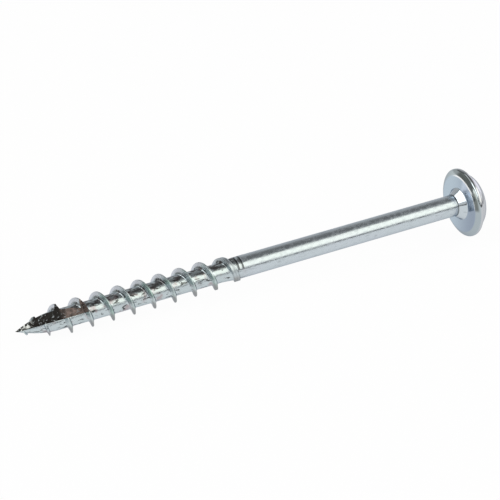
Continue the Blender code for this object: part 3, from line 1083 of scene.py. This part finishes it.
def die_dirt_and_neck_shade(tree, sizes, at, on, ripple, colour):
    """Dirt in the marks of the dies, and painted shade in the crease of the neck."""
    marks = together(tree, on["marked"], fade(tree, ripple, *MARK_LINE),
                     fade_from(tree, at["Radius"], root_in_mm(sizes), MARKED_RADIUS))
    colour = lay_on(tree, colour, marks, MARK_DIRT)
    # Painted shade: a dark ring in the crease of the neck
    return lay_on(tree, colour, band(tree, at["Depth"], *CREASE_DEPTHS), CREASE_SHADE)


def zinc_gloss(tree, finish, at, on):
    """Roughness: grained on the shank, smooth on the head, rough in the thread."""
    grain = fade(tree, cloud(tree, at["Unrolled"], GRAIN_CLOUD), *GRAIN_LIMITS)
    rough = mix_values(tree, grain, finish.gloss_loss + GRAIN[0], finish.gloss_loss + GRAIN[1])
    for mask, value in (
            (fade(tree, at["Depth"], *SMOOTH_DEPTH), HEAD_ROUGHNESS),
            (together(tree, on["seat"], on["near"]), SEAT_NEAR_ROUGHNESS),
            (on["root"], ROOT_ROUGHNESS),
            (on["ridge"], RIDGE_ROUGHNESS)):
        rough = mix_values(tree, mask, rough, value)
    return rough


def zinc_relief(tree, at, on, ripple):
    """Drawing lines on the shank, the rolled root, and the marks of the dies."""
    lines = cloud(tree, at["Unrolled"], LINES_CLOUD)
    rolled = cloud(tree, at["Unrolled"], ROLLED_CLOUD)
    height = together(tree, lines, on["shank"], LINE_HEIGHT)
    for wave, mask, rise in ((rolled, on["root"], ROLLED_HEIGHT), (ripple, on["marked"], MARK_HEIGHT)):
        height = join_values(tree, "ADD", height, together(tree, wave, mask, rise))
    return relief(tree, height, MM)


def zinc_material(sizes, finish, place, spots):
    """Bright zinc: clear and drawn on the shank, tinted on the head, blotched in the thread, with painted
    highlights and shade on the head and the thread.
    """
    material, tree, shader = new_metal("bright_zinc")
    at = use_group(tree, place)
    on = plated_areas(tree, sizes, at)
    ripple = die_ripple(tree, sizes, at)
    lavender = fade(tree, cloud(tree, at["Place"], LAVENDER_CLOUD), *LAVENDER_LIMITS)
    colour = lay_on(tree, finish.plating, lavender, (finish.lavender, LAVENDER_STRENGTH))
    colour = lay_on(tree, colour, on["root"], ROOT_FILM)
    colour = head_film_and_shade(tree, finish, at, on, colour)
    colour = thread_film_and_shade(tree, sizes, finish, at, on, colour)
    colour = plating_spots_and_root_shade(tree, finish, at, on, spots, colour)
    colour = hatch_marks(tree, sizes, at, colour)
    colour = head_highlight_and_shade(tree, at, on, colour)
    colour = die_dirt_and_neck_shade(tree, sizes, at, on, ripple, colour)
    tree.links.new(colour, shader.inputs["Base Color"])
    tree.links.new(zinc_gloss(tree, finish, at, on), shader.inputs["Roughness"])
    tree.links.new(zinc_relief(tree, at, on, ripple), shader.inputs["Normal"])
    shader.inputs["Specular Tint"].default_value = (*EDGE_TINT, 1.0)
    return material


def slot_material(sizes, finish, place, spots):
    """The cut slot: dark, with brown patches, pale specks and cutter marks."""
    material, tree, shader = new_metal("cut_slot")
    at = use_group(tree, place)
    end = (sizes.length - sizes.slot_length) / MM
    browner = fade_from(tree, at["Depth"], end, SLOT_BROWN_DEPTH)
    colour = mix_colours(tree, browner, finish.cut_dark, finish.cut_brown)
    patches = spotted(tree, spots, at["Place"], SLOT_PATCHES)
    colour = lay_on(tree, colour, patches, (finish.speck, SLOT_PATCH_STRENGTH))
    specks = spotted(tree, spots, at["Place"], SLOT_SPECKS)
    colour = lay_on(tree, colour, specks, (finish.plating, SLOT_SPECK_STRENGTH))
    tip = fade_from(tree, at["Depth"], sizes.length / MM, SLOT_TIP_DEPTH)
    mottle = spotted(tree, spots, at["Place"], SLOT_MOTTLE)
    colour = mix_colours(tree, together(tree, tip, mottle), colour, SLOT_BRIGHT)
    tree.links.new(colour, shader.inputs["Base Color"])
    shader.inputs["Roughness"].default_value = SLOT_ROUGHNESS
    marks = cloud(tree, at["Place"], CUTTER_CLOUD)
    tree.links.new(relief(tree, marks, SLOT_RELIEF * MM), shader.inputs["Normal"])
    return material


def make_screw(context):
    """The whole screw in its finish, lying as the solid part lies."""
    sizes = context.scene.screw_sizes
    finish = context.scene.zinc_finish
    place = place_group(sizes)
    spots = spots_group()
    zinc = zinc_material(sizes, finish, place, spots)
    slot_face = slot_material(sizes, finish, place, spots)
    screw = draw_line("screw_body", head_profile(sizes))
    turn_round(screw)
    point = draw_line("screw_point", point_profile(sizes))
    turn_round(point)
    thread = roll_thread(sizes)
    bpy.ops.object.select_all(action="DESELECT")
    for item in (screw, point, thread):
        item.select_set(True)
    context.view_layer.objects.active = screw
    bpy.ops.object.join()
    screw.name = "pocket_screw"
    screw.data.name = "pocket_screw"
    merge_and_face_out(screw)
    screw.data.materials.append(zinc)
    cut_with(screw, slot_cutter(sizes), slot_face)
    cut_with(screw, recess_cutter(sizes), zinc)
    merge_and_face_out(screw, MERGE_CUT)
    lie_down(screw)
    bpy.ops.object.shade_smooth_by_angle(angle=SMOOTH_ANGLE)
    return screw


def floor_material(look):
    """Plain pale floor that stays pale to the eye and in reflections, with its shadow."""
    material = bpy.data.materials.new("plain_floor")
    material.use_nodes = True
    tree = material.node_tree
    nodes = tree.nodes
    link = tree.links.new
    shader = nodes["Principled BSDF"]
    shader.inputs["Base Color"].default_value = (*look.floor_colour, 1.0)
    shader.inputs["Roughness"].default_value = FLOOR_ROUGHNESS
    shader.inputs["Specular IOR Level"].default_value = 0.0
    light = nodes.new("ShaderNodeEmission")
    light.inputs["Color"].default_value = (1.0, 1.0, 1.0, 1.0)
    light.inputs["Strength"].default_value = 1.0
    path = nodes.new("ShaderNodeLightPath").outputs
    seen = join_values(tree, "MAXIMUM", path["Is Camera Ray"], path["Is Glossy Ray"])
    seen = join_values(tree, "MAXIMUM", seen, path["Is Transmission Ray"])
    mix = nodes.new("ShaderNodeMixShader")
    link(together(tree, seen, FLOOR_SEEN_PLAIN), mix.inputs[0])
    link(shader.outputs[0], mix.inputs[1])
    link(light.outputs[0], mix.inputs[2])
    link(mix.outputs[0], nodes["Material Output"].inputs["Surface"])
    return material


def card_group():
    """Mask of a flat card with soft edges, seen from the screw in one direction."""
    group, given, result = new_group("studio_card", (
        ("Direction", "Vector"), ("Middle", "Vector"), ("Across", "Vector"), ("Up", "Vector"),
        ("Half Width", "Float"), ("Half Height", "Float"), ("Soft Edge", "Float")), (
        ("Mask", "Float"),))
    given = given.outputs

    def along(name):
        return join_vectors(group, "DOT_PRODUCT", given["Direction"], given[name])["Value"]

    ahead = join_values(group, "MAXIMUM", along("Middle"), 0.001)
    mask = join_values(group, "GREATER_THAN", along("Middle"), 0.05)
    for name, half in (("Across", "Half Width"), ("Up", "Half Height")):
        away = join_values(group, "ABSOLUTE", join_values(group, "DIVIDE", along(name), ahead))
        outside = join_values(group, "ADD", given[half], given["Soft Edge"])
        inside = join_values(group, "SUBTRACT", given[half], given["Soft Edge"])
        mask = together(group, mask, fade(group, away, outside, inside))
    group.links.new(mask, result.inputs["Mask"])
    return group


def wall_shades(tree, height, stops):
    """Brightness of a studio wall by height, as a ramp of greys."""
    ramp = tree.nodes.new("ShaderNodeValToRGB")
    elements = ramp.color_ramp.elements
    elements.remove(elements[-1])
    elements[0].position = stops[0][0]
    elements[0].color = (stops[0][1],) * 3 + (1.0,)
    for place, grey in stops[1:]:
        elements.new(place).color = (grey, grey, grey, 1.0)
    tree.links.new(height, ramp.inputs[0])
    return ramp.outputs[0]


def make_world(scene):
    """Studio that is dark overhead, paler lower down, and dim along the front."""
    world = bpy.data.worlds.new("studio")
    scene.world = world
    world.use_nodes = True
    tree = world.node_tree
    direction = tree.nodes.new("ShaderNodeTexCoord").outputs["Generated"]
    split = tree.nodes.new("ShaderNodeSeparateXYZ")
    tree.links.new(direction, split.inputs[0])
    colour = mix_colours(
        tree, fade(tree, split.outputs["Y"], *WALL_JOIN),
        wall_shades(tree, split.outputs["Z"], BACK_WALL),
        wall_shades(tree, split.outputs["Z"], FRONT_WALL))
    card = card_group()
    for middle, half_width, half_height, soft_edge, shade in STUDIO_CARDS:
        middle = Vector(middle).normalized()
        across = middle.cross(Vector((0.0, 0.0, 1.0))).normalized()
        seen = use_group(
            tree, card, Direction=direction, Middle=middle, Across=across, Up=across.cross(middle),
            Half_Width=half_width, Half_Height=half_height, Soft_Edge=soft_edge)
        colour = mix_colours(tree, seen["Mask"], colour, shade)
    tree.links.new(colour, tree.nodes["Background"].inputs["Color"])


def make_lamp(name, power, toward, across, width, height, colour):
    """Soft lamp in a direction from the screw, facing it, with its width lying across."""
    toward = Vector(toward).normalized()
    up = toward.cross(Vector(across)).normalized()
    data = bpy.data.lights.new(name, "AREA")
    data.shape = "RECTANGLE"
    data.size = width
    data.size_y = height
    data.energy = power
    data.color = colour
    lamp = bpy.data.objects.new(name, data)
    bpy.context.scene.collection.objects.link(lamp)
    turn = Matrix((up.cross(toward), up, toward)).transposed().to_4x4()
    lamp.matrix_world = Matrix.Translation(toward * LAMP_DISTANCE) @ turn


def make_camera(scene):
    """Camera that sees the screw as the photo does."""
    data = bpy.data.cameras.new("camera")
    data.lens = CAMERA_LENS
    data.sensor_width = CAMERA_SENSOR
    data.clip_start = CAMERA_NEAR
    data.clip_end = CAMERA_FAR
    camera = bpy.data.objects.new("camera", data)
    scene.collection.objects.link(camera)
    camera.location = CAMERA_PLACE
    camera.rotation_euler = CAMERA_TURN
    scene.camera = camera


def make_stage(context):
    """Floor, lamps, surroundings and camera."""
    scene = context.scene
    look = scene.stage_look
    bpy.ops.object.select_all(action="DESELECT")
    bpy.ops.mesh.primitive_plane_add(size=FLOOR_SIZE, location=(0, 0, 0))
    floor = context.active_object
    floor.name = "floor"
    floor.data.materials.append(floor_material(look))
    make_lamp("softbox", look.softbox_power, *SOFTBOX)
    make_lamp("side_softbox", look.side_power, *SIDE_SOFTBOX)
    make_world(scene)
    make_camera(scene)
    scene.view_settings.view_transform = "Standard"


class SCREW_OT_make_screw(bpy.types.Operator):
    """Makes the screw: wire, thread, slotted point and drive recess"""
    bl_idname = "screw.make_screw"
    bl_label = "Make the screw"

    def execute(self, context):
        screw = make_screw(context)
        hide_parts("screw")
        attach(screw, "root")
        return {"FINISHED"}


class SCREW_OT_make_stage(bpy.types.Operator):
    """Makes the floor, the lamps, the surroundings and the camera"""
    bl_idname = "screw.make_stage"
    bl_label = "Make the stage"

    def execute(self, context):
        make_stage(context)
        return {"FINISHED"}


class SCREW_PT_panel(bpy.types.Panel):
    """Sizes, finish and stage of the screw"""
    bl_idname = "SCREW_PT_panel"
    bl_label = "Pocket hole screw"
    bl_space_type = "VIEW_3D"
    bl_region_type = "UI"
    bl_category = "Screw"

    def draw(self, context):
        scene = context.scene
        for group in (scene.screw_sizes, scene.zinc_finish, scene.stage_look):
            column = self.layout.column(align=True)
            for name in group.__annotations__:
                column.prop(group, name)
        self.layout.operator("screw.make_screw")
        self.layout.operator("screw.make_stage")


CLASSES = (ScrewSizes, ZincFinish, StageLook, SCREW_OT_make_screw, SCREW_OT_make_stage, SCREW_PT_panel)


def register():
    """Registers the classes and hangs the settings on the scene."""
    for item in CLASSES:
        bpy.utils.register_class(item)
    bpy.types.Scene.screw_sizes = PointerProperty(type=ScrewSizes)
    bpy.types.Scene.zinc_finish = PointerProperty(type=ZincFinish)
    bpy.types.Scene.stage_look = PointerProperty(type=StageLook)


def unregister():
    """Takes away the settings and the classes."""
    del bpy.types.Scene.screw_sizes
    del bpy.types.Scene.zinc_finish
    del bpy.types.Scene.stage_look
    for item in reversed(CLASSES):
        bpy.utils.unregister_class(item)


def main():
    """Makes the screw and the stage."""
    register()
    bpy.ops.screw.make_screw()
    bpy.ops.screw.make_stage()
    bpy.context.view_layer.update()


if __name__ == "__main__":
    main()
